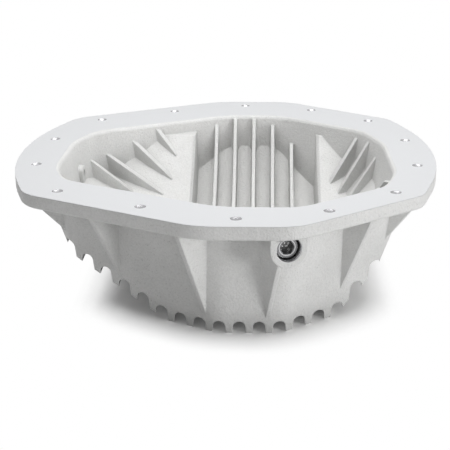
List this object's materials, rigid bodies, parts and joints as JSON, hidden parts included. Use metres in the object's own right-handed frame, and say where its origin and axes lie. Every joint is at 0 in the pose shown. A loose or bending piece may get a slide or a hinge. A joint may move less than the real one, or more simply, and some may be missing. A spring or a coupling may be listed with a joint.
{
  "type": "differential cover",
  "caption": "finned cast aluminium cover that bolts over the open rear side of an axle's differential housing, with a magnetic drain plug",
  "frame": {"origin": "on the ground under the middle of the outline, as the cover stands on the tips of its fins", "axes": "+X along the axle, +Y along the fins and away from the drain plug, +Z out of the open side, square to the gasket face"},
  "size_m": [0.37, 0.412, 0.105],
  "materials": {
    "cover": "raw sand casting with a milled gasket face",
    "drain_plug": "bright zinc plated",
    "drain_plug_seal": "plain",
    "drain_plug_magnet": "nickel plated",
    "sensor_plug": "zinc plated"
  },
  "bodies": {
    "root": {"cover": "cover", "drain_plug": "drain_plug", "drain_plug_seal": "drain_plug_seal", "drain_plug_magnet": "drain_plug_magnet", "sensor_plug": "sensor_plug"}
  },
  "joints": []
}
